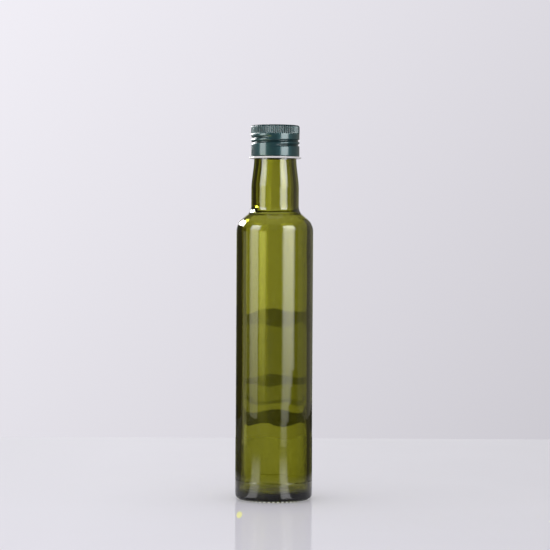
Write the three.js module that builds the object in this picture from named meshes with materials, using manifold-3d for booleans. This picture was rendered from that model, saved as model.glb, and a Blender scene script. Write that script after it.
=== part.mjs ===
// A round, empty olive oil bottle: green glass with a thick base and a hollow inside, a pale
// sealing ring and a lacquered aluminium screw cap with a knurled top and a rolled thread.
// Millimetres, +Z up, origin at the centre of the base. Every piece is round about Z.
import * as THREE from "three";
import { mergeVertices } from "three/addons/utils/BufferGeometryUtils.js";
import Module from "manifold-3d";

const wasm = await Module();
wasm.setup();

// Glass body
const bodyRadius = 25.1;
const wall = 3.8;
const heelRadius = 2.4;
const shoulderFoot = 174.2;
const shoulderRadius = 11;
const shoulderTurn = THREE.MathUtils.degToRad(50);
const neckRadius = 15.6;
const neckFillet = 6.5;
const taperFoot = 202.1;
const taperHead = 221.1;
const taperHandle = 5.5;
const mouthOuterRadius = 13.8;
const lipHeight = 241.2;
const lipBevel = 0.9;
const innerLift = 1.6;

// Underside and floor of the glass
const barHeight = 0.8;
const puntRadius = 18.2;
const puntDepth = 2.4;
const floorEdge = 4.6;
const floorCentre = 6.6;
const floorCorner = 3.4;

// Stipple bars that the base stands on
const barCount = 48;
const barMiddle = 21.9;
const barLength = 2.2;
const barWidth = 1.8;
const barRoot = 1.6;
const barFoot = 0.6;

// Cap and ring
const capRadius = 15.75;
const capTop = 243.1;
const capFoot = 222.9;
const capPlate = 1.5;
const capBore = 14.2;
const capEdge = 1.3;
const knurlCount = 66;
const knurlDepth = 0.45;
const knurlFoot = 238;
const threadPitch = 2.8;
const threadDepth = 0.9;
const threadHalfWidth = 1.1;
const threadAtFront = 232.45;
const threadStart = -1.05;
const threadEnd = 1;
const threadFade = 0.12;
const ringInnerRadius = 14.1;
const ringOuterRadius = 17;
const ringFoot = 221.5;
const ringHead = 222.6;
const ringBevel = 0.35;

const roundSegments = 48;
const outerDivisions = 4;
const innerDivisions = 2;
const threadRows = 14;
const twist = Math.PI * 2;

const glass = new THREE.MeshStandardMaterial({
  color: 0x5d6620, roughness: 0.05, metalness: 0, transparent: true, opacity: 0.5,
});
const lacquer = new THREE.MeshStandardMaterial({ color: 0x1f4a46, roughness: 0.35, metalness: 0.6 });
const whitePlastic = new THREE.MeshStandardMaterial({ color: 0xf2f2ee, roughness: 0.4, metalness: 0 });

// The slope between shoulder and neck is tangent to both arcs, which settles the fillet's height.
function filletHeight() {
  const turn = shoulderTurn;
  const reach = bodyRadius - neckRadius - (shoulderRadius + neckFillet) * (1 - Math.cos(turn));
  const slope = reach / Math.sin(turn);
  return shoulderFoot + (shoulderRadius + neckFillet) * Math.sin(turn) + slope * Math.cos(turn);
}

// Body, shoulder and neck as one outline going up, set in from the outer face by a distance. Lifting
// the arcs of the inner face makes the wall thinner in the shoulder, where blown glass stretches.
function sideOutline(path, inset, lift) {
  const filletTop = filletHeight() + lift;
  const shoulder = shoulderFoot + lift;
  const neck = neckRadius - inset;
  const mouth = mouthOuterRadius - inset;
  path.lineTo(bodyRadius - inset, shoulder);
  path.absarc(bodyRadius - shoulderRadius, shoulder, shoulderRadius - inset, 0, shoulderTurn);
  path.absarc(
    neckRadius + neckFillet, filletTop, neckFillet + inset, Math.PI + shoulderTurn, Math.PI, true,
  );
  path.lineTo(neck, taperFoot);
  path.bezierCurveTo(
    neck, taperFoot + taperHandle, mouth, taperHead - taperHandle, mouth, taperHead,
  );
}

// Underside, heel and outer face, from the axis up to the lip.
function outerFace() {
  const path = new THREE.Path();
  path.moveTo(0, barHeight + puntDepth);
  path.quadraticCurveTo(puntRadius * 0.75, barHeight + puntDepth, puntRadius, barHeight);
  path.absarc(bodyRadius - heelRadius, barHeight + heelRadius, heelRadius, -Math.PI / 2, 0);
  sideOutline(path, 0, 0);
  path.lineTo(mouthOuterRadius, lipHeight - lipBevel);
  path.lineTo(mouthOuterRadius - lipBevel, lipHeight);
  return path.getPoints(outerDivisions);
}

// Floor, corner and inner face, from the axis up to the lip.
function innerFace() {
  const corner = bodyRadius - wall - floorCorner;
  const bore = mouthOuterRadius - wall;
  const path = new THREE.Path();
  path.moveTo(0, floorCentre);
  path.quadraticCurveTo(corner / 2, floorCentre, corner, floorEdge);
  path.absarc(corner, floorEdge + floorCorner, floorCorner, -Math.PI / 2, 0);
  sideOutline(path, wall, innerLift);
  path.lineTo(bore, lipHeight - lipBevel);
  path.lineTo(bore + lipBevel, lipHeight);
  return path.getPoints(innerDivisions);
}

// An outline turned about Z.
function turned(points, segments = roundSegments) {
  const apart = points.filter((p, i) => i === 0 || p.distanceTo(points[i - 1]) > 1e-3);
  return new THREE.LatheGeometry(apart, segments).rotateX(Math.PI / 2);
}

function toSolid(geometry) {
  const bare = geometry.clone();
  bare.deleteAttribute("normal");
  bare.deleteAttribute("uv");
  const merged = mergeVertices(bare, 1e-4);
  return new wasm.Manifold(
    new wasm.Mesh({
      numProp: 3,
      vertProperties: merged.attributes.position.array,
      triVerts: new Uint32Array(merged.index.array),
    }),
  );
}

function toGeometry(solid) {
  const mesh = solid.getMesh();
  const geometry = new THREE.BufferGeometry();
  geometry.setAttribute("position", new THREE.BufferAttribute(mesh.vertProperties, mesh.numProp));
  geometry.setIndex(new THREE.BufferAttribute(mesh.triVerts, 1));
  geometry.computeVertexNormals();
  return geometry;
}

// One copy of a geometry for each step of a full turn about Z.
function* ringOf(geometry, count) {
  for (let i = 0; i < count; i++) yield toSolid(geometry.clone().rotateZ((twist * i) / count));
}

// A stipple bar: a radial block whose flat foot is narrower than its root, in the middle of a facet.
function stippleBar() {
  const bar = new THREE.BoxGeometry(barLength, barWidth, barRoot);
  const position = bar.attributes.position;
  for (let i = 0; i < position.count; i++) {
    if (position.getZ(i) > 0) continue;
    position.setX(i, position.getX(i) * (1 - barFoot / barLength));
    position.setY(i, position.getY(i) * (1 - barFoot / barWidth));
  }
  return bar.translate(barMiddle, 0, barRoot / 2).rotateZ(Math.PI / barCount);
}

function bottleGlass() {
  let solid = toSolid(turned([...outerFace(), ...innerFace().reverse()]));
  for (const bar of ringOf(stippleBar(), barCount)) solid = solid.add(bar);
  return toGeometry(solid);
}

// How deep the rolled thread is at a height and an angle, over all of its turns.
function threadAt(height, angle) {
  let depth = 0;
  for (let lap = -1; lap <= 1; lap++) {
    const along = angle / twist + lap;
    const away = Math.abs(height - (threadAtFront + threadPitch * along)) / threadHalfWidth;
    if (away >= 1) continue;
    const start = THREE.MathUtils.smoothstep(along, threadStart, threadStart + threadFade);
    const end = 1 - THREE.MathUtils.smoothstep(along, threadEnd - threadFade, threadEnd);
    depth = Math.max(depth, threadDepth * start * end * Math.cos((away * Math.PI) / 2) ** 2);
  }
  return depth;
}

// The cap's outline from the middle of its top, down the skirt, and up its bore.
function capOutline() {
  const path = new THREE.Path();
  path.moveTo(0, capTop);
  path.lineTo(capRadius - capEdge, capTop);
  path.absarc(capRadius - capEdge, capTop - capEdge, capEdge, Math.PI / 2, 0, true);
  const threadHead = threadAtFront + threadPitch * threadEnd + threadHalfWidth;
  const threadFoot = threadAtFront + threadPitch * threadStart - threadHalfWidth;
  for (let i = 0; i <= threadRows; i++) {
    path.lineTo(capRadius, THREE.MathUtils.lerp(threadHead, threadFoot, i / threadRows));
  }
  path.lineTo(capRadius, capFoot);
  path.lineTo(capBore, capFoot);
  path.lineTo(capBore, capTop - capPlate);
  path.lineTo(0, capTop - capPlate);
  return path.getPoints(2).reverse();
}

function screwCap() {
  const shell = turned(capOutline(), knurlCount);
  const position = shell.attributes.position;
  for (let i = 0; i < position.count; i++) {
    const [x, y, z] = [position.getX(i), position.getY(i), position.getZ(i)];
    const radius = Math.hypot(x, y);
    if (radius < capRadius - 0.01) continue;
    const front = Math.atan2(x, -y);
    const depth = threadAt(z, Math.abs(front + Math.PI) < 1e-6 ? Math.PI : front);
    position.setXY(i, (x * (radius - depth)) / radius, (y * (radius - depth)) / radius);
  }
  const height = capTop - knurlFoot;
  const half = knurlDepth * 1.6;
  const notch = new THREE.CylinderGeometry(half, half, height, 4).rotateX(Math.PI / 2);
  notch.translate(0, -(capRadius - knurlDepth + half), knurlFoot + height / 2);
  notch.rotateZ(Math.PI / knurlCount);
  let solid = toSolid(shell);
  for (const cut of ringOf(notch, knurlCount)) solid = solid.subtract(cut);
  return toGeometry(solid);
}

// The ring under the skirt: a flat washer with a bevelled rim.
function sealRing() {
  const path = new THREE.Path();
  path.moveTo(ringInnerRadius, ringFoot);
  path.lineTo(ringOuterRadius - ringBevel, ringFoot);
  path.lineTo(ringOuterRadius, ringFoot + ringBevel);
  path.lineTo(ringOuterRadius, ringHead - ringBevel);
  path.lineTo(ringOuterRadius - ringBevel, ringHead);
  path.lineTo(ringInnerRadius, ringHead);
  path.lineTo(ringInnerRadius, ringFoot);
  return turned(path.getPoints(1));
}

function piece(name, geometry, material) {
  const mesh = new THREE.Mesh(geometry, material);
  mesh.name = name;
  return mesh;
}

const bottle = new THREE.Group();
bottle.add(piece("bottle_glass", bottleGlass(), glass));
bottle.add(piece("seal_ring", sealRing(), whitePlastic));
bottle.add(piece("screw_cap", screwCap(), lacquer));

export default bottle;
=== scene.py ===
# %% [markdown]
# # A round olive oil bottle of green glass
#
# The real bottle is three things: a thick-walled body of green glass, a pale plastic ring round its neck and
# an aluminium screw cap. It is empty, so its far wall shows through the near one. Each piece is turned about
# the same upright axis, so each can be drawn as half an outline and swept round. The measured frame already
# holds plain versions of the three. This script keeps their places and sizes and gives them the fine forms
# and finishes that the eye looks for.

# %% Load the measured frame
from math import atan, cos, degrees, pi, radians, sin, tan

import bpy
import numpy as np
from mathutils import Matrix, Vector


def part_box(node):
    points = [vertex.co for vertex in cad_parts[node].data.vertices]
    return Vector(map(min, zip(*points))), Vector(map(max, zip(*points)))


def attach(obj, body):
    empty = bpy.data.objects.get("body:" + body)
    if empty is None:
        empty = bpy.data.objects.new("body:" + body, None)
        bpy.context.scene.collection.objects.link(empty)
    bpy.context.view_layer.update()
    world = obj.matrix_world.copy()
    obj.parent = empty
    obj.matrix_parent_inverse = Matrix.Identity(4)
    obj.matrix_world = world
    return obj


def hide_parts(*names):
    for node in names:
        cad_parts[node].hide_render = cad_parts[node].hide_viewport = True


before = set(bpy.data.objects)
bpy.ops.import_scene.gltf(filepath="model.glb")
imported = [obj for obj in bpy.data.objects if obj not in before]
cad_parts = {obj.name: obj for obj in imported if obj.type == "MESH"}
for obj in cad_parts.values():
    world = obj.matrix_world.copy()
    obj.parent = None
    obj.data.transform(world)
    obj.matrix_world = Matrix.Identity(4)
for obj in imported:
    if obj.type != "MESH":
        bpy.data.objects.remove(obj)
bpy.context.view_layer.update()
scene = bpy.context.scene
MM = 0.001

# %% [markdown]
# The frame gives the sizes that can be measured from outside. Everything below is worked out from these
# values and from a few more that only a cut through the bottle would show, such as the wall's thickness.

# %% Sizes from the frame
body_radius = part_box("bottle_glass")[1].y
lip_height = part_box("bottle_glass")[1].z
cap_foot, cap_top = (corner.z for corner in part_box("screw_cap"))
cap_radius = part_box("screw_cap")[1].y
ring_foot, ring_head = (corner.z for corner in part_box("seal_ring"))
ring_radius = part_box("seal_ring")[1].y
print("body", round(2 * body_radius / MM, 2), "wide, cap", round(2 * cap_radius / MM, 2), "wide")
print("glass up to", round(lip_height / MM, 1), "mm, cap up to", round(cap_top / MM, 1), "mm")

# %% [markdown]
# ## Camera
#
# The camera comes first, because every later picture is seen through it. A bottle is photographed for a
# shop with a long lens from more than a metre away, a little above its middle, so that its sides stay
# straight. The height of the eye shows in the ellipses: the cap's top edge bulges up and the foot bulges
# down, so the eye is level with neither. The lens follows from the bottle's width in the picture.

# %% Camera at the eye of the picture
picture_size = 550
sensor_width = 36.0
eye_distance = 1300 * MM
eye_height = 168.6 * MM
horizon_row = 240.1
axis_column = 274.65
focal_length_px = 1996
roll = 0.3

camera_data = bpy.data.cameras.new("camera")
camera_data.sensor_width = sensor_width
camera_data.lens = focal_length_px * sensor_width / picture_size
camera = bpy.data.objects.new("camera", camera_data)
pitch = degrees(atan((picture_size / 2 - horizon_row) / focal_length_px))
aside = (picture_size / 2 - axis_column) / focal_length_px * eye_distance
camera.location = (aside, -eye_distance, eye_height)
camera.rotation_mode = "ZYX"
camera.rotation_euler = (radians(90 - pitch), 0, radians(roll))
scene.collection.objects.link(camera)
scene.camera = camera
print("lens", round(camera_data.lens, 1), "mm, looking down by", round(pitch, 2), "degrees")

# %% [markdown]
# ## Outlines
#
# A glass mould is cut from a drawing made of straight lines and arcs. Three small functions give the points
# of a line, an arc and a smooth curve, and a fourth joins them into one outline of radius and height. The
# points are worked out as whole arrays, so an outline can be as fine as it has to be.

# %% Lines, arcs and curves
def line(start, end, steps):
    """Points start + t * (end - start), with t going from 0 to 1 in equal steps."""
    t = np.linspace(0, 1, steps + 1)[:, None]
    return np.asarray(start) + t * (np.asarray(end) - np.asarray(start))


def arc(centre, radius, start, end, steps):
    """Points centre + radius * (cos a, sin a), with the angle a going from start to end in degrees."""
    a = np.radians(np.linspace(start, end, steps + 1))
    return np.asarray(centre) + radius * np.stack([np.cos(a), np.sin(a)], axis=1)


def curve(start, first_handle, second_handle, end, steps):
    """A cubic curve: (1-t)^3 start + 3(1-t)^2 t first + 3(1-t) t^2 second + t^3 end, t from 0 to 1."""
    t = np.linspace(0, 1, steps + 1)[:, None]
    points = [np.asarray(p, float) for p in (start, first_handle, second_handle, end)]
    weights = [(1 - t) ** 3, 3 * (1 - t) ** 2 * t, 3 * (1 - t) * t**2, t**3]
    return sum(weight * point for weight, point in zip(weights, points))


def bowed(start, elbow, end, steps):
    """A curve that leaves start towards the elbow and arrives at end from it, with one handle on each way."""
    start, elbow, end = (np.asarray(p, float) for p in (start, elbow, end))
    return curve(start, start + (elbow - start) * 2 / 3, end + (elbow - end) * 2 / 3, end, steps)


def joined(*stretches):
    """All stretches in one outline, without the points that repeat where two stretches meet."""
    points = np.concatenate(stretches)
    apart = np.linalg.norm(np.diff(points, axis=0), axis=1) > 0.001 * MM
    return points[np.concatenate([[True], apart])]


# %% [markdown]
# An outline becomes a surface when it is swept round the axis. The point in row i and column j is
# (r cos a, r sin a, z), with r and z taken from the outline and a from the column. Because r and z are
# arrays with a value for every row and every column, ribs, threads and dents are added as plain sums
# before the sweep. The two ends on the axis become one point each, so that the skin is closed.

# %% Sweep an outline round the axis
def columns(count):
    """The angles of the columns, in radians, for one full turn that starts at the front (-Y)."""
    return -pi / 2 + 2 * pi * np.arange(count) / count


def swept(name, radius, height, on_axis=True):
    """A closed skin from arrays of radius and height by row and column. Point = (r cos a, r sin a, z).

    The rows go up the outside of the piece, so that faces turned counter-clockwise point out. With on_axis
    the first and last rows are one point each on the axis. Without it the last row joins the first."""
    rows, count = radius.shape
    a = columns(count)[None, :]
    grid = np.stack([radius * np.cos(a), radius * np.sin(a), height + 0 * a], axis=2)
    if on_axis:
        points = np.concatenate([grid[0, :1], grid[1:-1].reshape(-1, 3), grid[-1, :1]])
        low = 1 + np.arange((rows - 2) * count).reshape(rows - 2, count)
        right = np.roll(low, -1, axis=1)
        first = np.stack([0 * low[0], right[0], low[0]], axis=1)
        last = np.stack([low[-1], right[-1], 0 * low[-1] + len(points) - 1], axis=1)
        low, high, low_right, high_right = low[:-1], low[1:], right[:-1], right[1:]
    else:
        points = grid.reshape(-1, 3)
        low = np.arange(rows * count).reshape(rows, count)
        low_right = np.roll(low, -1, axis=1)
        high, high_right = np.roll(low, -1, axis=0), np.roll(low_right, -1, axis=0)
        first = last = np.zeros((0, 3), int)
    quads = np.stack([low, low_right, high_right, high], axis=2).reshape(-1, 4)
    mesh = bpy.data.meshes.new(name)
    mesh.from_pydata(points.tolist(), [], quads.tolist() + first.tolist() + last.tolist())
    mesh.shade_smooth()
    piece = bpy.data.objects.new(name, mesh)
    scene.collection.objects.link(piece)
    print(name, "has", len(mesh.vertices), "points and", len(mesh.polygons), "faces")
    return piece


def smoothstep(x, low, high):
    """0 below low, 1 above high, and 3t^2 - 2t^3 between them, with t the share of the way."""
    t = np.clip((x - low) / (high - low), 0, 1)
    return t * t * (3 - 2 * t)


# %% [markdown]
# ## The glass body
#
# The outer face goes up from the heel: a straight side, a rounded shoulder, a short slope, the hollow fillet
# at the foot of the neck, and a neck that narrows to the mouth. The inner face is the same drawing set in by
# the wall's thickness. Glass stretches most where it is blown round a bend, so the wall is thinner in the
# shoulder: the arcs of the inner face are lifted a little. One function draws both faces.

# %% The wall's outline
wall = 3.8 * MM
heel_radius = 2.4 * MM
shoulder_foot = 174.2 * MM
shoulder_radius = 11 * MM
shoulder_turn = 50
neck_radius = 15.6 * MM
neck_fillet = 6.5 * MM
taper_foot = 202.1 * MM
taper_head = 221.1 * MM
taper_handle = 5.5 * MM
mouth_radius = 13.8 * MM
inner_lift = 1.6 * MM

bend = shoulder_radius + neck_fillet
reach = body_radius - neck_radius - bend * (1 - cos(radians(shoulder_turn)))
slope = reach / sin(radians(shoulder_turn))
fillet_height = shoulder_foot + bend * sin(radians(shoulder_turn)) + slope * cos(radians(shoulder_turn))


def wall_outline(foot, inset, lift, side_steps, arc_steps, fillet_steps):
    """The side, shoulder, fillet and neck from a height up to the mouth, set in by a distance.

    The two arcs are also lifted, which thins the wall by lift * sin(slope)."""
    neck, mouth = neck_radius - inset, mouth_radius - inset
    shoulder_centre = (body_radius - shoulder_radius, shoulder_foot + lift)
    fillet_centre = (neck_radius + neck_fillet, fillet_height + lift)
    return joined(
        line((body_radius - inset, foot), (body_radius - inset, shoulder_centre[1]), side_steps),
        arc(shoulder_centre, shoulder_radius - inset, 0, shoulder_turn, arc_steps),
        arc(fillet_centre, neck_fillet + inset, 180 + shoulder_turn, 180, fillet_steps),
        line((neck, fillet_centre[1]), (neck, taper_foot), arc_steps // 2),
        curve((neck, taper_foot), (neck, taper_foot + taper_handle),
              (mouth, taper_head - taper_handle), (mouth, taper_head), arc_steps),
    )


print("the neck's fillet ends", round(fillet_height / MM, 1), "mm up")

# %% [markdown]
# The base is the thickest glass in the bottle. Its underside is pushed up in the middle, so that the bottle
# stands on a ring, and its floor is domed a little. Both are shallow curves from the axis outwards.

# %% The base's outlines
bar_height = 0.8 * MM
punt_radius = 18.2 * MM
punt_depth = 2.4 * MM
floor_edge = 4.6 * MM
floor_centre = 6.6 * MM
floor_corner = 3.4 * MM
lip_rounding = 1.2 * MM


def underside_outline():
    """From the axis, down the hollow of the underside, to the end of the heel's arc."""
    top = bar_height + punt_depth
    rim = (punt_radius, bar_height)
    heel_centre = (body_radius - heel_radius, bar_height + heel_radius)
    return joined(
        bowed((0, top), (punt_radius * 0.75, top), rim, 14),
        line(rim, (heel_centre[0], bar_height), 24),
        arc(heel_centre, heel_radius, -90, 0, 24),
    )


def floor_outline():
    """From the axis, across the domed floor and round its corner to the foot of the straight inner side."""
    corner = body_radius - wall - floor_corner
    return joined(
        bowed((0, floor_centre), (corner / 2, floor_centre), (corner, floor_edge), 12),
        arc((corner, floor_edge + floor_corner), floor_corner, -90, 0, 12),
    )


# %% [markdown]
# Pressed and blown glass is never quite true. The outside takes the mould's polish, with very slow waves.
# The inside never touches a mould, so its waves are several times deeper, and they are what makes reflections
# in a bottle swim. The waves are sums of cosines over the angle and the height, and they only ever take glass
# away, so that the bottle stays inside its measured width.

# %% Waves in the glass
full_turn = 2 * pi
wave_count = 8
wave_seed = np.random.default_rng(7)
wave_turns = wave_seed.integers(2, 6, wave_count)
wave_lengths = wave_seed.uniform(22, 70, wave_count) * MM
wave_starts = wave_seed.uniform(0, full_turn, (2, wave_count))
outer_wave = 0.05 * MM
inner_wave = 0.32 * MM


def waves(angle, height, depth):
    """Minus depth times the mean of 1 + cos(k a + p) cos(2 pi z / L + q) over eight k, L, p and q, halved."""
    total = 0
    for turns, length, start, phase in zip(wave_turns, wave_lengths, *wave_starts):
        total = total + np.cos(turns * angle + start) * np.cos(full_turn * height / length + phase)
    return -depth * (1 + total / wave_count) / 2


print("waves of", [round(length / MM) for length in wave_lengths], "mm")

# %% [markdown]
# The hot glass was also drawn out lengthwise when it was blown, which leaves fine upright streaks in its
# inner face. And where the neck meets the shoulder the skin folded into a shallow sharp crease. It shows as a
# thin dark line, because its flanks are too steep for light to pass.

# %% Streaks and fold
streak_count = 6
streak_turns = wave_seed.integers(11, 41, streak_count)
streak_starts = wave_seed.uniform(0, full_turn, streak_count)
streak_lean = 60 * MM
streak_depth = 0.05 * MM
fold_height = 185.9 * MM
fold_depth = 0.8 * MM
fold_width = 0.6 * MM
fold_sag, fold_sag_turn = 0.35 * MM, 0.6


def streaks(angle, height):
    """Minus streak_depth times the mean of 1 + cos(k a + p + z / streak_lean) over six k and p, halved."""
    total = sum(np.cos(turns * angle + start + height / streak_lean)
                for turns, start in zip(streak_turns, streak_starts))
    return -streak_depth * (1 + total / streak_count) / 2


def fold(angle, height):
    """Minus fold_depth * exp(-(distance from the crease / fold_width)^2).

    The crease's height changes with the cosine of the angle, so it sags a little to one side."""
    away = height - fold_height - fold_sag * np.cos(angle + fold_sag_turn)
    return -fold_depth * np.exp(-((away / fold_width) ** 2))


print("streaks per turn:", streak_turns.tolist(), "and a crease", round(fold_height / MM, 1), "mm up")


# %% [markdown]
# The bottle stands on a ring of short radial bars, called stippling, which keeps the polished glass off the
# conveyor while it is hot. Each bar is a rounded ridge that reaches down to the table. The ridge is a dip in
# the height of the underside: a wave round the circle, times a window that fades the bars out on both sides.

# %% Stipple bars under the base
bar_count = 48
bar_inner = 21.2 * MM
bar_outer = 22.7 * MM
bar_fade = 0.35 * MM
bar_foot, bar_crest = -0.3, 0.7


def bars(radius, angle):
    """How much of its height a point of the underside loses: window(r) * rounded square wave(a).

    The wave is a cosine round the circle, cut off below bar_foot and above bar_crest."""
    window = smoothstep(radius, bar_inner - bar_fade, bar_inner)
    window = window * (1 - smoothstep(radius, bar_outer, bar_outer + bar_fade))
    ripple = np.cos(bar_count * (angle + pi / bar_count))
    return window * smoothstep(ripple, bar_foot, bar_crest)


print("a bar every", round(pi * (bar_inner + bar_outer) / bar_count / MM, 2), "mm")


# %% [markdown]
# Two faint upright lines run up opposite sides of a moulded bottle, where the halves of its mould met. A
# narrow rounded bump of less than a tenth of a millimetre stands for each. The bumps sit at the two sides,
# and the body is taken in by the same amount, so that they don't widen the bottle.

# %% Mould seams
seam_height = 0.06 * MM
seam_width = 0.5 * MM


def seams(radius, angle):
    """seam_height * exp(-(distance from the seam / seam_width)^2), with seams at +X and -X."""
    away = radius * np.sin(angle)
    return seam_height * np.exp(-((away / seam_width) ** 2))


print("seams", round(seam_height / MM, 2), "mm high at both sides")

# %% [markdown]
# Now the whole outline is joined up: from the axis under the base, out and up to the mouth, over the rounded
# lip, and down the inside to the axis again. The waves and the crease are added to the sides alone, so that
# the base, and the mouth under the cap, stay true.

# %% Build the glass body
glass_columns = 336
relief_foot, relief_full = 14 * MM, 24 * MM


def make_glass():
    """Underside, heel, outer face, lip, inner face and floor in one closed skin."""
    mouth = mouth_radius - wall
    outer_side = wall_outline(bar_height + heel_radius, 0, 0, side_steps=30, arc_steps=12, fillet_steps=12)
    outside = joined(underside_outline(), outer_side)
    lip = joined(
        line((mouth_radius, taper_head), (mouth_radius, lip_height - lip_rounding), 3),
        arc((mouth_radius - lip_rounding, lip_height - lip_rounding), lip_rounding, 0, 90, 4),
        arc((mouth + lip_rounding, lip_height - lip_rounding), lip_rounding, 90, 180, 4),
    )
    inner_foot = floor_edge + floor_corner
    inner_side = wall_outline(inner_foot, wall, inner_lift, side_steps=30, arc_steps=11, fillet_steps=46)
    inside = joined(floor_outline(), inner_side)
    outline = joined(outside, lip, inside[::-1])
    inner = (np.arange(len(outline)) >= len(outside) + len(lip) - 1)[:, None]
    angle = columns(glass_columns)[None, :]
    radius, height = outline[:, :1] + 0 * angle, outline[:, 1:] + 0 * angle
    on_side = smoothstep(height, relief_foot, relief_full) * (1 - smoothstep(height, taper_foot, taper_head))
    outer_relief = waves(angle, height, outer_wave) - seam_height + seams(radius, angle)
    inner_relief = waves(angle, height, inner_wave) + streaks(angle, height) + fold(angle, height)
    relief = np.where(inner, -inner_relief, outer_relief) * on_side
    standing = ~inner & (height < bar_height + heel_radius)
    lowered = height * (1 - np.where(standing, bars(radius, angle), 0))
    return swept("glass_body", radius + relief, lowered)


glass_body = make_glass()
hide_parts("bottle_glass")
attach(glass_body, "root")

# %% [markdown]
# ## The ring
#
# Under the cap sits a thin moulded ring. Its rim is rounded all the way, as plastic that has been moulded
# is, and its two flat faces run in to the neck. It is swept from a closed outline that never meets the axis.

# %% Build the sealing ring
ring_inner = 14.1 * MM
ring_columns = 160


def make_ring():
    """Underside outwards, round the rim, back over the top and down the bore."""
    half = (ring_head - ring_foot) / 2
    edge = ring_radius - half
    outline = joined(
        line((ring_inner, ring_foot), (edge, ring_foot), 5),
        arc((edge, ring_foot + half), half, -90, 90, 14),
        line((edge, ring_head), (ring_inner, ring_head), 5),
        line((ring_inner, ring_head), (ring_inner, ring_foot), 3),
    )[:-1]
    angle = columns(ring_columns)[None, :]
    return swept("sealing_ring", outline[:, :1] + 0 * angle, outline[:, 1:] + 0 * angle, on_axis=False)


sealing_ring = make_ring()
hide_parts("seal_ring")
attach(sealing_ring, "root")

# %% [markdown]
# ## The screw cap
#
# A roll-on cap starts as a plain cup of thin lacquered aluminium. A machine presses a band of fine knurls
# round its top for the fingers, and then wheels roll the skirt into the glass thread, which leaves a helix of
# soft grooves. The thread climbs to the right on the side that faces the eye, as every right-hand thread
# does, and it fades out at both ends, where the wheels run on and off the thread of the glass.
#
# All of that is one number for each point of the skin: how deep it was pressed in.

# %% How deep the cap is pressed in
knurl_count = 66
knurl_depth = 0.5 * MM
knurl_foot = 238 * MM
thread_pitch = 2.8 * MM
thread_depth = 0.9 * MM
thread_half_width = 1.1 * MM
thread_at_front = 232.45 * MM
thread_start, thread_end, thread_fade = -1.05, 1, 0.12
knurl_sharpness = 1.5
knurl_fade = (knurl_foot - 0.9 * MM, knurl_foot + 0.3 * MM)


def knurls(angle, height):
    """Depth of the knurls: (half of 1 - cos(count * a)) ^ sharpness, times a window that ends below them."""
    groove = (0.5 - 0.5 * np.cos(knurl_count * angle)) ** knurl_sharpness
    return knurl_depth * groove * smoothstep(height, *knurl_fade)


def thread(angle, height):
    """Depth of the rolled thread: cos^2 across each lap of a helix, times a fade at its two ends.

    The middle of a lap lies at height = front + pitch * turns from the front."""
    depth = 0 * angle * height
    for lap in range(-1, 2):
        along = (angle + pi / 2) / full_turn + lap
        away = np.clip(np.abs(height - thread_at_front - thread_pitch * along) / thread_half_width, 0, 1)
        ends = smoothstep(along, thread_start, thread_start + thread_fade)
        ends = ends * (1 - smoothstep(along, thread_end - thread_fade, thread_end))
        depth = np.maximum(depth, thread_depth * ends * np.cos(away * pi / 2) ** 2)
    return depth


print(knurl_count, "knurls, and a thread of", round(thread_end - thread_start, 2), "turns")

# %% [markdown]
# The cap's outline starts under the plate of its top, goes down the bore and round a small curl where the
# sheet's cut edge is turned in, then up the skirt and over the rounded edge to the middle of the top. The
# angle has to run from half a turn left of the front to half a turn right of it, so that the helix has its
# ends where it should. How far each point was pressed in is also kept as an attribute, for the finish.

# %% Build the screw cap
cap_columns = knurl_count * 8
cap_plate = 1.5 * MM
cap_bore = 14.2 * MM
cap_edge = 1.3 * MM
cap_curl = 0.35 * MM
skirt_head = knurl_foot - 1.2 * MM


def make_cap():
    """Plate and bore from below, the skirt's foot, the pressed skirt, the rounded edge and the top.

    Also gives how far each point was pressed in, as a share of the full depth."""
    edge_centre = (cap_radius - cap_edge, cap_top - cap_edge)
    skirt_foot = cap_foot + cap_curl
    outline = joined(
        line((0, cap_top - cap_plate), (cap_bore, cap_top - cap_plate), 2),
        line((cap_bore, cap_top - cap_plate), (cap_bore, cap_foot), 2),
        line((cap_bore, cap_foot), (cap_radius - cap_curl, cap_foot), 1),
        arc((cap_radius - cap_curl, skirt_foot), cap_curl, -90, 0, 5),
        line((cap_radius, skirt_foot), (cap_radius, skirt_head), 56),
        line((cap_radius, skirt_head), (cap_radius, cap_top - cap_edge), 16),
        arc(edge_centre, cap_edge, 0, 90, 10),
        line((edge_centre[0], cap_top), (0, cap_top), 6),
    )
    angle = columns(cap_columns)[None, :]
    turned = np.where(angle > pi / 2, angle - full_turn, angle)
    radius, height = outline[:, :1] + 0 * angle, outline[:, 1:] + 0 * angle
    outer = radius > cap_radius - cap_edge
    grooves, laps = knurls(turned, height), thread(turned, height)
    pressed = np.where(outer, grooves + laps, 0)
    share = np.where(outer, grooves / knurl_depth + laps / thread_depth, 0)
    return swept("cap_shell", radius - pressed, height), share


cap_shell, pressed_share = make_cap()
share_by_point = np.concatenate([pressed_share[0, :1], pressed_share[1:-1].ravel(), pressed_share[-1, :1]])
pressed_attribute = cap_shell.data.attributes.new("pressed", "FLOAT", "POINT")
pressed_attribute.data.foreach_set("value", share_by_point.astype(np.float32))
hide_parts("screw_cap")
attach(cap_shell, "root")

# %% [markdown]
# ## Finishes
#
# A finish is a small program that says how a surface answers light at each point. In Blender it is a graph
# of nodes. Graphs are hard to read as code, so small helpers turn them into sentences. A Value wraps one
# output of a node and knows the usual signs, so `1 - mask * 0.3` adds the Math nodes that it needs.

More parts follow.
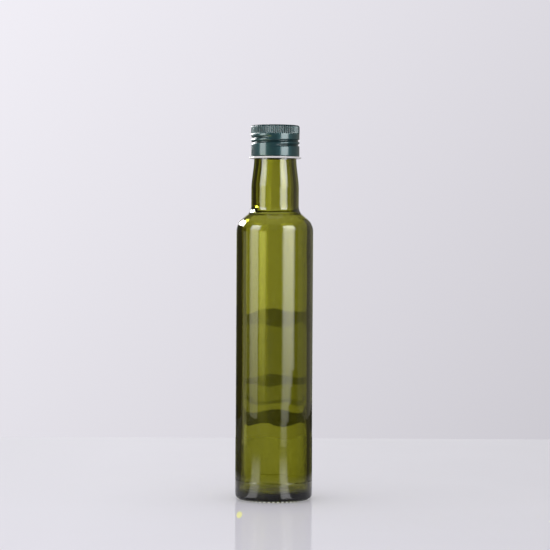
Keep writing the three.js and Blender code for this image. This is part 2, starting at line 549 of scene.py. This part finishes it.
# %% Shader values that can be added and multiplied
class Value:
    """One output of a node. Sums, differences, products, quotients, powers and abs() of it add Math nodes."""

    def __init__(self, graph, socket):
        self.graph = graph
        self.socket = socket

    def maths(self, operation, *terms):
        return self.graph.node("ShaderNodeMath", {"operation": operation}, dict(enumerate(terms)))

    def __abs__(self):
        return self.maths("ABSOLUTE", self)

    def __add__(self, other):
        return self.maths("ADD", self, other)

    def __sub__(self, other):
        return self.maths("SUBTRACT", self, other)

    def __mul__(self, other):
        return self.maths("MULTIPLY", self, other)

    def __truediv__(self, other):
        return self.maths("DIVIDE", self, other)

    def __pow__(self, other):
        return self.maths("POWER", self, other)

    def __rsub__(self, other):
        return self.maths("SUBTRACT", other, self)

    __radd__ = __add__
    __rmul__ = __mul__


# %% [markdown]
# A Graph adds any other node from its type, its settings and its inputs. It also has words for what several
# graphs need: a colour between two colours, vector maths, and whether light was mirrored or came through
# glass before it met the surface.

# %% A graph of nodes
class Graph:
    """A node tree under construction."""

    def __init__(self, tree):
        self.tree = tree

    def plug(self, socket, value):
        """Links a value to a socket, or sets the socket to a constant."""
        if isinstance(value, Value):
            self.tree.links.new(value.socket, socket)
        else:
            socket.default_value = value

    def node(self, kind, settings=None, sockets=None, output=0):
        """Any node: its type, then its settings, then its inputs. Gives one of its outputs as a Value."""
        node = self.tree.nodes.new(kind)
        for key, value in (settings or {}).items():
            setattr(node, key, value)
        for key, value in (sockets or {}).items():
            self.plug(node.inputs[key], value)
        return Value(self, node.outputs[output])

    def between(self, share, first, second):
        """A colour between two colours, by a share from 0 to 1. Each colour is a value or three numbers."""
        first, second = (c if isinstance(c, Value) else (*c, 1) for c in (first, second))
        settings = {"data_type": "RGBA", "clamp_factor": True}
        sockets = {0: share, 6: first, 7: second}
        return self.node("ShaderNodeMix", settings, sockets, output=2)

    def vector_maths(self, operation, *vectors, output=0):
        """Maths on one or two vectors. A length or a dot product is a number, from the output Value."""
        sockets = dict(enumerate(vectors))
        return self.node("ShaderNodeVectorMath", {"operation": operation}, sockets, output)

    def through_glass(self):
        """1 for light that came here through glass, and 0 for any other."""
        return self.node("ShaderNodeLightPath", output="Is Transmission Ray")

    def mirror_image(self):
        """1 for light that was mirrored before it got here, 0 for light seen directly or through glass."""
        return self.node("ShaderNodeLightPath", output="Is Glossy Ray") * (1 - self.through_glass())


# %% [markdown]
# A Finish is a graph for one material. It starts with the Principled shader, and its patterns are worked out
# from the point on the piece in metres, so that a size in a pattern is a size on the real thing.

# %% A material under construction
class Finish(Graph):
    """A material that starts as one Principled shader, with constants set on the shader's own sockets."""

    def __init__(self, name, **constants):
        self.material = bpy.data.materials.new(name)
        self.material.use_nodes = True
        super().__init__(self.material.node_tree)
        self.shader = self.tree.nodes["Principled BSDF"]
        self.set(**constants)
        print("finish", name)

    def set(self, **sockets):
        """Sets or links the shader's sockets. Base_Color stands for Base Color, and so on."""
        for name, value in sockets.items():
            self.plug(self.shader.inputs[name.replace("_", " ")], value)

    def place(self, scale=(1, 1, 1)):
        """The point on the piece, in metres times scale."""
        point = self.node("ShaderNodeTexCoord", output="Object")
        return self.node("ShaderNodeMapping", sockets={"Vector": point, "Scale": scale})

    def height(self):
        """How high the point lies on the piece, in metres."""
        return self.node("ShaderNodeSeparateXYZ", sockets={0: self.place()}, output="Z")

    def ramp(self, value, low, high):
        """0 below low, 1 above high, and a smooth step between them."""
        settings = {"interpolation_type": "SMOOTHSTEP"}
        sockets = {"Value": value, "From Min": low, "From Max": high}
        return self.node("ShaderNodeMapRange", settings, sockets)

    def noise(self, size, detail=2, stretch=(1, 1, 1)):
        """Clouds from 0 to 1 whose blots are about one size across, in metres, stretched along an axis."""
        scale = tuple(1 / (size * s) for s in stretch)
        sockets = {"Vector": self.place(scale), "Scale": 1, "Detail": detail}
        return self.node("ShaderNodeTexNoise", sockets=sockets)

    def relief(self, height, depth):
        """A normal tilted as if the surface rose by height * depth, with depth in metres."""
        return self.node("ShaderNodeBump", sockets={"Height": height, "Distance": depth})


# %% [markdown]
# ### Green glass
#
# Bottle glass is green because of iron in the melt, and the colour is in its thickness, not on its skin: a
# thin chip is almost clear, and the base is nearly black. So the skin is clear and the body absorbs light.
# Each millimetre takes the same share away, and most of the blue. The absorption is given by what one
# millimetre lets through.

# %% Absorption from a colour
def absorb(finish, let_through):
    """Absorption for a body that lets through let_through of each colour in a millimetre.

    Light left = exp(-density * (1 - colour) * distance), so density * (1 - colour) = -ln(light left) / mm."""
    loss = -np.log(np.array(let_through)) / MM
    density = float(loss.max())
    colour = (*(1 - loss / density).tolist(), 1)
    sockets = {"Color": colour, "Density": density}
    body = finish.node("ShaderNodeVolumeAbsorption", sockets=sockets)
    finish.plug(finish.tree.nodes["Material Output"].inputs["Volume"], body)


# %% [markdown]
# The skin isn't flawless either. It has faint smears, slow ripples drawn out upwards, and pits that are
# hardly there. A thin mark runs round the foot, where the mould's bottom plate met its sides.

# %% Finish the glass
millimetre_lets_through = (0.82, 0.82, 0.57)
smeared_tint, clean_tint = (0.97, 0.985, 0.95), (1, 1, 1)
smear_size, ripple_size, pit_size = 30 * MM, 9 * MM, 0.9 * MM
smear_stretch, ripple_stretch = (1, 1, 2.5), (1, 1, 2.2)
mark_height = 12.3 * MM
mark_half_width = 0.5 * MM
mark_wander = 2.5 * MM
pit_share, mark_share = 0.02, 5
glass_relief = 0.03 * MM


def green_glass():
    """Clear skin with faint smears, ripples, pits and a mark that wanders, over a body that absorbs.

    The mark is 1 where the height is mark_height, give or take mark_wander times the smears."""
    glass = Finish("green_glass", IOR=1.52, Transmission_Weight=1.0)
    smears = glass.noise(smear_size, 3, smear_stretch)
    ripples = glass.noise(ripple_size, 2, ripple_stretch)
    pits = glass.noise(pit_size, 1)
    from_mark = glass.height() + mark_wander * (smears - 0.5) - mark_height
    mark = 1 - glass.ramp(abs(from_mark), 0, mark_half_width)
    glass.set(
        Base_Color=glass.between(smears, smeared_tint, clean_tint),
        Roughness=0.008 + 0.03 * smears**3,
        Normal=glass.relief(ripples + pit_share * pits + mark_share * mark, glass_relief),
    )
    absorb(glass, millimetre_lets_through)
    return glass.material


glass_body.data.materials.append(green_glass())

# %% [markdown]
# ### White plastic
#
# The ring is plain moulded plastic. It isn't quite even: it has a faint grain, and its gloss changes slowly
# from place to place.

# %% Finish the ring
creamy_white, clear_white = (0.86, 0.85, 0.8), (0.93, 0.93, 0.9)
tone_size, grain_size = 8 * MM, 0.35 * MM
grain_depth = 0.01 * MM


def white_plastic():
    """Off-white with slow changes of tone, a fine grain and a soft gloss."""
    plastic = Finish("white_plastic", IOR=1.5)
    tone = plastic.noise(tone_size)
    plastic.set(
        Base_Color=plastic.between(tone, creamy_white, clear_white),
        Roughness=0.3 + 0.15 * tone,
        Normal=plastic.relief(plastic.noise(grain_size), grain_depth),
    )
    return plastic.material


sealing_ring.data.materials.append(white_plastic())

# %% [markdown]
# ### Green lacquer
#
# The cap is aluminium sheet, printed with a dark blue-green lacquer before it was drawn. Its grooves are
# painted darker than the ridges, as painted shade in the knurls and the thread. Under the lacquer the
# sheet still has the fine upright lines of drawing, and over it lies a clear gloss.

# %% Finish the cap
shaded_green, unshaded_green = (0.01, 0.034, 0.037), (0.027, 0.082, 0.088)
line_size, peel_size, blot_size = 0.5 * MM, 0.8 * MM, 5 * MM
line_stretch = (1, 1, 16)
lacquer_relief = 0.012 * MM


def green_lacquer():
    """Dark lacquer, with painted shade in the pressed grooves, drawing lines, orange peel and a clear coat.
    """
    lacquer = Finish("green_lacquer", Metallic=0.2, Specular_IOR_Level=0.1, Coat_Roughness=0.08, Coat_IOR=1.5)
    pressed = lacquer.node("ShaderNodeAttribute", {"attribute_name": "pressed"}, output="Fac")
    lines = lacquer.noise(line_size, 2, line_stretch)
    blots = lacquer.noise(blot_size, 3)
    # Painted shade: the further a point is pressed in, the closer it comes to the darkest green.
    light = (1 - pressed) * (0.35 + 0.4 * blots + 0.25 * lines)
    lacquer.set(
        Base_Color=lacquer.between(light, shaded_green, unshaded_green),
        Roughness=0.3 + 0.12 * blots,
        Coat_Weight=0.65 + 0.2 * blots,
        Normal=lacquer.relief(lacquer.noise(peel_size) + 0.6 * lines, lacquer_relief),
    )
    return lacquer.material


cap_shell.data.materials.append(green_lacquer())

# %% [markdown]
# ## Studio
#
# Glass has no look of its own. What shows is what stands round it, so the studio is built for the bottle. A
# pale table and a pale backdrop fill the picture. Two tall softboxes stand in front, one on each side, and
# draw the long bright lines down the glass. Dark flags stand behind, just outside the picture on both sides.
# A round bottle bends them into its two edges, so the edges turn dark and the outline reads clearly.
#
# Each thing of the studio is a plain sheet or a box.

# %% Sheets and boxes of the studio
def sheet(name, points, faces, material):
    """A mesh that belongs to the studio and not to the bottle."""
    mesh = bpy.data.meshes.new(name)
    mesh.from_pydata([tuple(map(float, p)) for p in points], [], faces)
    mesh.materials.append(material)
    piece = bpy.data.objects.new(name, mesh)
    scene.collection.objects.link(piece)
    return piece


def slab(name, low, high, material):
    """A box between two corners: eight points and six faces that point out."""
    (x0, y0, z0), (x1, y1, z1) = low, high
    points = [(x, y, z) for z in (z0, z1) for y in (y0, y1) for x in (x0, x1)]
    faces = [(0, 2, 3, 1), (4, 5, 7, 6), (0, 1, 5, 4), (2, 6, 7, 3), (0, 4, 6, 2), (1, 3, 7, 5)]
    return sheet(name, points, faces, material)


# %% [markdown]
# The table is a polished pale top, with painted light that makes it a little lighter on the left. Its image
# in the glass is made darker with painted shade: away from the bottle, as if dark paper lay there, and round
# its foot, where the bottle shades it. Without this a milky veil would lie over the glass. The image also
# shows one painted pool of light on each side, where the softboxes light the table before the bottle. To the
# eye there is a small warm spot of painted light, where the base gathers light as a lens does, and a faint
# painted glow in the gaps between the bars under the base.
#
# Each patch is given by its direction in degrees from the camera, by the half angles of its even middle and
# of its outer edge, and by its strength.

# %% Tones of the table
table_tone, painted_left_light = 0.92, 0.5
mottle_size, mottle_tone = 120 * MM, 0.04
table_colour, caustic_colour = (0.93, 0.93, 0.955), (1, 1, 0.62)
table_roughness, roughness_change = 0.05, 0.04
dark_from, dark_beyond = 90 * MM, 190 * MM
shade_to, shade_end, shade = 24 * MM, 29 * MM, 0.6
mirror_loss = 0.9
patches = [(27.5, 7, 14, 2.4), (-52, 9, 16, 1.9)]
patch_near, patch_far = (26 * MM, 38 * MM), (200 * MM, 330 * MM)
brightest_patch = 2.4
spot_middle = (-20.9 * MM, -78 * MM, 0)
spot_half_width, spot_half_length, spot_core = 2.1 * MM, 18 * MM, 0.6
spot_glow = (0.09, 0.09, 0)
under_near, under_far = (16 * MM, 20 * MM), (23 * MM, 23.6 * MM)
under_glow_strength = 0.33


def bright_patch(top, point, away, azimuth, core, edge, strength):
    """Strength within core degrees of a direction, none beyond edge degrees, and a smooth step between.

    The dot product of the point and the direction, over the distance, is the cosine of the angle."""
    ahead = (sin(radians(azimuth)), -cos(radians(azimuth)), 0)
    along = top.vector_maths("DOT_PRODUCT", point, ahead, output="Value")
    return strength * top.ramp(along / away, cos(radians(edge)), cos(radians(core)))


def painted_caustic_spot(top, point):
    """1 in the middle of an oval and 0 outside it: the distance from its middle, in its half sizes."""
    stretch = (1 / spot_half_width, 1 / spot_half_length, 1)
    scaled = top.vector_maths("MULTIPLY", top.vector_maths("SUBTRACT", point, spot_middle), stretch)
    return 1 - top.ramp(top.vector_maths("LENGTH", scaled, output="Value"), spot_core, 1)


print(len(patches), "patches, and a spot", round(2 * spot_half_width / MM, 1), "mm wide")

# %% [markdown]
# The top itself is one slab. Its upper face lies at height 0, where the bottle stands, and its far edge draws
# the line where the table ends and the backdrop begins.

# %% Build the table
table_far, table_near = 399 * MM, -3.0
table_half_width = 2.2
table_depth = 20 * MM


def pale_table():
    """Pale polished top with hardly visible mottling, and the painted shade, painted light and painted
    caustic named above.
    """
    top = Finish("pale_table", IOR=1.065, Emission_Strength=brightest_patch)
    point = top.place()
    mottle = top.noise(mottle_size, 3)
    away = top.vector_maths("LENGTH", point, output="Value")
    across = top.node("ShaderNodeSeparateXYZ", sockets={0: point}, output="X")
    mirrored = top.mirror_image()
    # Painted shade for mirror images: dark away from the bottle, and a painted shadow round its foot.
    mirrored_shade = top.ramp(away, dark_from, dark_beyond) + shade * (1 - top.ramp(away, shade_to, shade_end))
    # Random mottle, painted light that falls off from left to right, and painted shade in mirror images.
    tone = table_tone + mottle_tone * mottle - painted_left_light * across - mirror_loss * mirrored * mirrored_shade
    # Painted pools of softbox light, which show only in mirror images of the table.
    patch_glow = sum(bright_patch(top, point, away, *patch) for patch in patches) * mirrored
    patch_glow = patch_glow * top.ramp(away, *patch_near) * (1 - top.ramp(away, *patch_far))
    # Painted glow on the table under the base, so that the gaps between the bars look lit.
    under_glow = under_glow_strength * top.ramp(away, *under_near) * (1 - top.ramp(away, *under_far))
    under_glow = under_glow * (1 - top.through_glass())
    # Painted light: a caustic spot, put into both the table's colour and its glow.
    in_painted_caustic = painted_caustic_spot(top, point)
    glow = (patch_glow + under_glow) / brightest_patch
    colour = top.between(in_painted_caustic, table_colour, caustic_colour)
    top.set(
        Emission_Color=top.between(glow, top.between(in_painted_caustic, (0, 0, 0), spot_glow), (1, 1, 1)),
        Base_Color=top.between(tone, (0, 0, 0), colour),
        Roughness=table_roughness + roughness_change * mottle,
    )
    return top.material


near_corner = (-table_half_width, table_near, -table_depth)
slab("table", near_corner, (table_half_width, table_far, 0), pale_table())

# %% [markdown]
# A card of light is a flat sheet that glows. Its glow can change along its height, as a real softbox does
# that is lit from above. The cards are hidden from the camera itself, so that they never stand in a picture
# taken from another side, but the bottle still mirrors and bends them.
#
# A card's place is given by its azimuth, the direction in degrees from the camera, with + to the right.

# %% Cards of light
def black_sheet(name, **constants):
    """A finish that sends no light back."""
    return Finish(name, Base_Color=(0, 0, 0, 1), Roughness=1.0, Specular_IOR_Level=0.0, **constants)


def glowing(name, colour, strength, low_share, low, high, side, half_width, soft):
    """A black sheet that glows, low_share of the strength at its foot, rising to all of it at its head.

    The glow fades out over the share soft of its half width, on both sides."""
    glow = black_sheet(name, Emission_Strength=strength)
    share = low_share + (1 - low_share) * (glow.height() - low) / (high - low)
    if soft:
        aside = glow.vector_maths("DOT_PRODUCT", glow.place(), side, output="Value")
        share = share * (1 - glow.ramp(abs(aside / half_width), 1 - soft, 1))
    glow.set(Emission_Color=glow.between(share, (0, 0, 0), colour))
    return glow.material


def show_to(piece, mirrors=False, glass=False):
    """Says whether a sheet shows in mirrors and through glass. The eye and matt surfaces never meet it."""
    piece.visible_camera = False
    piece.visible_shadow = False
    piece.visible_diffuse = False
    piece.visible_glossy = mirrors
    piece.visible_transmission = glass


def card(name, azimuth, distance, width, low, high, strength, low_share=1, colour=(1, 1, 1), soft=0):
    """An upright sheet that faces the bottle, with its middle at distance * (sin azimuth, -cos azimuth)."""
    a = radians(azimuth)
    centre = np.array((sin(a), -cos(a), 0)) * distance
    side = np.array((cos(a), sin(a), 0))
    half = side * width / 2
    foot, head = np.array((0, 0, low)), np.array((0, 0, high))
    corners = [centre - half + foot, centre + half + foot, centre + half + head, centre - half + head]
    glow = glowing(name, colour, strength, low_share, low, high, tuple(side.tolist()), width / 2, soft)
    return sheet(name, corners, [(0, 1, 2, 3)], glow)


def width_at(distance, degrees_across):
    """How wide a card has to be to cover an angle when seen from the bottle."""
    return 2 * distance * tan(radians(degrees_across / 2))


def wide_card(name, distance, azimuth, across, heights, glow, colour, soft):
    """A card given by the angle it covers, its heights in mm, and its glow at its foot and at its head."""
    low, high = (z * MM for z in heights)
    foot, head = glow
    width = width_at(distance, across)
    return card(name, azimuth, distance, width, low, high, head, foot / head, colour, soft)


# %% [markdown]
# Both softboxes get brighter upwards, and the right one gets wider from its foot up. Each is therefore made
# of parts, one above the other, whose glow runs on from part to part. Their sides fade out, as a cloth
# front lit from its middle does. What stands higher than the bottle shows in the neck and the shoulder,
# because their faces lean and mirror upwards.
#
# The values of a part are its direction and its width in degrees, its heights in mm, its glow at the foot and
# at the head, its colour, and the share of its half width over which a side fades.

# %% Softboxes
box_distance = 370 * MM
white, warm = (1, 1, 1), (1, 0.98, 0.74)
softboxes = [
    ("right_foot_1", 28.5, 26, (0, 20), (1.2, 1.7), white, 0.7),
    ("right_foot_2", 32, 31, (20, 34), (1.7, 2.1), white, 0.65),
    ("right_foot_3", 35.5, 36, (34, 48), (2.1, 2.5), white, 0.6),
    ("right_foot_4", 38.5, 40, (48, 62), (2.5, 2.9), white, 0.55),
    ("right_low", 41.5, 45, (62, 188), (2.9, 6.8), white, 0.5),
    ("right_middle", 41.5, 44, (188, 238), (6.8, 8.4), white, 0.45),
    ("right_high", 45, 44, (238, 430), (8.4, 14), white, 0.4),
    ("left_low", -60.5, 44, (23, 188), (1.4, 5.7), warm, 0.6),
    ("left_middle", -62, 36, (188, 238), (5.7, 7.2), warm, 0.45),
    ("left_high", -61, 41, (238, 430), (7.2, 12), white, 0.5),
]
for name, *form in softboxes:
    show_to(wide_card("softbox_" + name, box_distance, *form), mirrors=True, glass=True)

# %% [markdown]
# Dim sheets fill in what the softboxes leave black. One stands behind the bottle on each side, where its
# grazing edges find it. Two coloured reflectors stand on both sides of the left softbox, below the cap's
# height. Only mirror images show them.

# %% Fill cards
fill_distance = 600 * MM
warm_white, yellow, pale_yellow = (1, 0.96, 0.85), (1, 1, 0.25), (1, 0.97, 0.5)
fills = [
    ("fill_right", fill_distance, 113, 80, (0, 600), (0.34, 0.34), warm_white, 0),
    ("fill_left", fill_distance, -134, 40, (0, 600), (0.024, 0.12), white, 0),
    ("reflector", box_distance, -36, 30, (20, 192), (0.5, 5), yellow, 0.7),
    ("fill_side", box_distance, -96, 26, (0, 188), (1.2, 1.2), pale_yellow, 0.6),
]
for fill in fills:
    show_to(wide_card(*fill), mirrors=True)

# %% [markdown]
# A small strong lamp behind and to the left lights the shoulder from the back. It gives the white glints on
# the glass and the yellow-green ones where it shines through the neck. A narrow lamp beside it gives the
# white glints on the turns of the thread.

# %% Rim lights
rim_distance = 500 * MM
rim_light = card("rim_light", -128, rim_distance, 170 * MM, low=350 * MM, high=490 * MM, strength=55)
thread_light = card("thread_light", -147, rim_distance, 70 * MM, low=290 * MM, high=400 * MM, strength=70)
show_to(rim_light, mirrors=True, glass=True)
show_to(thread_light, mirrors=True)

# %% [markdown]
# Each flag is a sheet of dark paper that lies on the table beside the bottle, runs back as a wedge and then
# stands up behind. The angle between the two flags decides how wide the dark edges of the bottle are: light
# that the glass bends outwards by more than half of it comes from dark paper.

# %% Dark flags
flag_start = (26 * MM, 5 * MM)
right_angle, left_angle = 24, 15
flag_distance = 420 * MM
flag_outer_angle = 55
flag_head = 600 * MM
flag_lift = 0.6 * MM
paper_glow, paper_colour = 0.13, (1, 0.85, 0.7, 1)
dark_paper = black_sheet("dark_paper", Emission_Strength=paper_glow, Emission_Color=paper_colour).material


def flag(name, hand, angle):
    """A wedge on the table, from the bottle's side to the table's end, and an upright sheet behind it."""
    x, y = flag_start
    inner, outer = tan(radians(angle)), tan(radians(flag_outer_angle))
    lying = [(x, y), (x + inner * (table_far - y), table_far), (x + outer * (table_far - y), table_far)]
    ends = [(x + slope * (flag_distance - y), flag_distance) for slope in (inner, outer)]
    points = [(hand * px, py, flag_lift) for px, py in lying]
    points += [(hand * px, py, pz) for pz in (-flag_head, flag_head) for px, py in ends]
    show_to(sheet(name, points, [(0, 1, 2), (3, 4, 6, 5)], dark_paper), glass=True)


flag("flag_right", 1, right_angle)
flag("flag_left", -1, left_angle)

# %% [markdown]
# A clear bottle also shows what is behind it, and its waves bend straight edges into dark, wavy bands. So a
# few plain ledges stand there, one above the other, at the flags' distance, and only light that passes
# through the glass meets them. Each is given by the heights of its lower and upper edge and by how much light
# it sends back.

# %% Ledges behind the bottle
pale_tone = (0.77, 0.75, 0.79)
ledges = [
    (8.5, 21.5, 0.16), (21.5, 28.2, 0.75), (28.2, 31.6, 0.4), (31.6, 43.7, 0.6),
    (43.7, 50.7, 0.28), (50.7, 94.6, 0.62), (94.6, 107.5, 0.3),
]
ledge_half_width = flag_start[0] + tan(radians(right_angle)) * flag_distance


def ledge(number, low, high, light):
    """One plain strip across the gap between the flags."""
    width = 2 * ledge_half_width
    tone = tuple(light * c for c in pale_tone)
    strip = card(f"ledge_{number}", 180, flag_distance, width, low * MM, high * MM, strength=1, colour=tone)
    show_to(strip, glass=True)


for number, (low, high, light) in enumerate(ledges):
    ledge(number, low, high, light)

# %% [markdown]
# The backdrop itself is the world: a pale tone all round, for the eye, for matt surfaces and for what shows
# through the glass. It gets darker to the right and downwards, along one slanting direction. Mirror images
# are different. They show a dim room, because otherwise the whole bottle would wear a milky veil, and one
# pale card stands far behind the bottle for the table to mirror.

# %% Backdrop and world
backdrop_distance, backdrop_across = 1200 * MM, 35
backdrop_heights = (-100, 1000)
backdrop_glow = (0.78, 0.78)
backdrop_form = (backdrop_distance, 180, backdrop_across, backdrop_heights, backdrop_glow, white, 0)
show_to(wide_card("backdrop", *backdrop_form), mirrors=True)
room_tone = (0.06, 0.055, 0.05)
light_side, dark_side = (0.885, 0.865, 0.925), (0.6, 0.585, 0.63)
middle_share = 0.5
darker_towards = (2.1, 0, -1.75)


def light_world():
    """Pale, a little lighter on the left and further up, but dim in mirror images.

    The share of the dark side is middle_share + the dot product of direction and darker_towards."""
    world = bpy.data.worlds.new("studio")
    world.use_nodes = True
    scene.world = world
    graph = Graph(world.node_tree)
    direction = graph.node("ShaderNodeTexCoord", output="Generated")
    darker = graph.vector_maths("DOT_PRODUCT", direction, darker_towards, output="Value")
    backdrop_tone = graph.between(middle_share + darker, light_side, dark_side)
    tone = graph.between(graph.mirror_image(), backdrop_tone, room_tone)
    graph.plug(graph.tree.nodes["Background"].inputs["Color"], tone)


light_world()
scene.view_settings.view_transform = "Standard"
